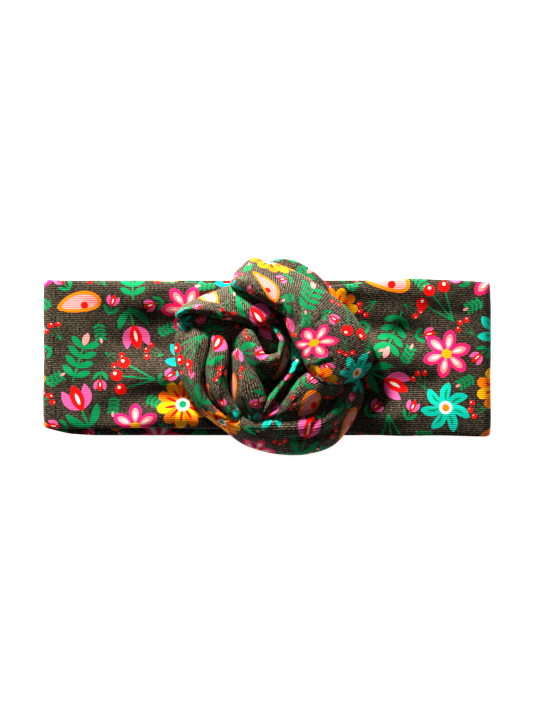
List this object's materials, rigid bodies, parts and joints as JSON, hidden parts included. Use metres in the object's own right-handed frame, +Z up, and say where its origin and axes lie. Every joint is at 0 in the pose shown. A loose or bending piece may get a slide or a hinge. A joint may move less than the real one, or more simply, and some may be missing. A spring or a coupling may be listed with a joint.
{
  "type": "knotted headband",
  "caption": "Wide stretch-fabric headband with a folk-floral print, a doubled loop lying flat with a rosette knot on its front, which opens for the head.",
  "frame": {"origin": "on the surface the headband lies on, under the middle of its box", "axes": "+X along the band, +Y across the band towards its upper edge, +Z up out of the knot"},
  "size_m": [0.246, 0.11, 0.0381],
  "materials": {
    "band_cloth": "matt printed stretch cloth, charcoal with a many-coloured floral print",
    "lining_ply_cloth": "the same printed stretch cloth, inner ply",
    "knot_cloth": "the same printed stretch cloth, gathered and folded",
    "thread": "black polyester sewing thread"
  },
  "bodies": {
    "back_centre": {"centre_back_left_inner_ply": "lining_ply_cloth", "centre_back_left_outer_ply": "band_cloth", "centre_back_left_tube_seam": "thread", "centre_back_right_inner_ply": "lining_ply_cloth", "centre_back_right_outer_ply": "band_cloth", "centre_back_right_tube_seam": "thread", "centre_back_seam": "thread"},
    "left_back": {"left_back_inner_ply": "lining_ply_cloth", "left_back_outer_ply": "band_cloth", "left_back_tube_seam": "thread"},
    "right_back": {"right_back_inner_ply": "lining_ply_cloth", "right_back_outer_ply": "band_cloth", "right_back_tube_seam": "thread"},
    "left_front": {"left_end_fold_inner_ply": "lining_ply_cloth", "left_end_fold_outer_ply": "band_cloth", "left_front_inner_ply": "lining_ply_cloth", "left_front_outer_ply": "band_cloth", "left_front_tube_seam": "thread"},
    "right_front": {"right_end_fold_inner_ply": "lining_ply_cloth", "right_end_fold_outer_ply": "band_cloth", "right_front_inner_ply": "lining_ply_cloth", "right_front_outer_ply": "band_cloth", "right_front_tube_seam": "thread"},
    "front_centre": {"front_centre_inner_ply": "lining_ply_cloth", "front_centre_outer_ply": "band_cloth", "front_centre_tube_seam": "thread", "knot_core_bundle": "knot_cloth", "knot_heart_curl": "knot_cloth", "knot_inner_centre_fold": "knot_cloth", "knot_inner_left_fold": "knot_cloth", "knot_lower_wrap": "knot_cloth", "knot_outer_right_wrap": "knot_cloth", "knot_ridge_fold": "knot_cloth", "knot_right_lobe": "knot_cloth", "knot_tacks": "thread", "knot_under_layer": "knot_cloth", "knot_upper_left_wrap": "knot_cloth"},
    "right_knot_exit": {"right_knot_exit_inner_ply": "lining_ply_cloth", "right_knot_exit_outer_ply": "band_cloth", "right_knot_exit_tube_seam": "thread"}
  },
  "joints": [
    {"name": "left_back_fold_line", "type": "hinge", "parent": "back_centre", "child": "left_back", "pos_m": [-0.062, 0, 0.0022], "axis": [0, 1, 0], "range_deg": [0, 60]},
    {"name": "left_end_fold", "type": "hinge", "parent": "left_back", "child": "left_front", "pos_m": [-0.1219, 0, 0.0049], "axis": [0, -1, 0], "range_deg": [0, 120], "deforming": ["left_end_fold_outer_ply", "left_end_fold_inner_ply"]},
    {"name": "left_front_fold_line", "type": "hinge", "parent": "left_front", "child": "front_centre", "pos_m": [-0.062, 0, 0.0076], "axis": [0, 1, 0], "range_deg": [0, 60]},
    {"name": "right_back_fold_line", "type": "hinge", "parent": "back_centre", "child": "right_back", "pos_m": [0.062, 0, 0.0022], "axis": [0, -1, 0], "range_deg": [0, 60]},
    {"name": "right_end_fold", "type": "hinge", "parent": "right_back", "child": "right_front", "pos_m": [0.1219, 0, 0.0049], "axis": [0, 1, 0], "range_deg": [0, 120], "deforming": ["right_end_fold_outer_ply", "right_end_fold_inner_ply"]},
    {"name": "right_front_fold_line", "type": "hinge", "parent": "right_front", "child": "right_knot_exit", "pos_m": [0.062, 0, 0.0076], "axis": [0, -1, 0], "range_deg": [0, 60]}
  ],
  "couplings": [
    {"joint": "left_end_fold", "follows": "left_back_fold_line", "ratio": 2},
    {"joint": "left_front_fold_line", "follows": "left_back_fold_line", "ratio": 1},
    {"joint": "right_back_fold_line", "follows": "left_back_fold_line", "ratio": 1},
    {"joint": "right_end_fold", "follows": "left_back_fold_line", "ratio": 2},
    {"joint": "right_front_fold_line", "follows": "left_back_fold_line", "ratio": 1}
  ]
}
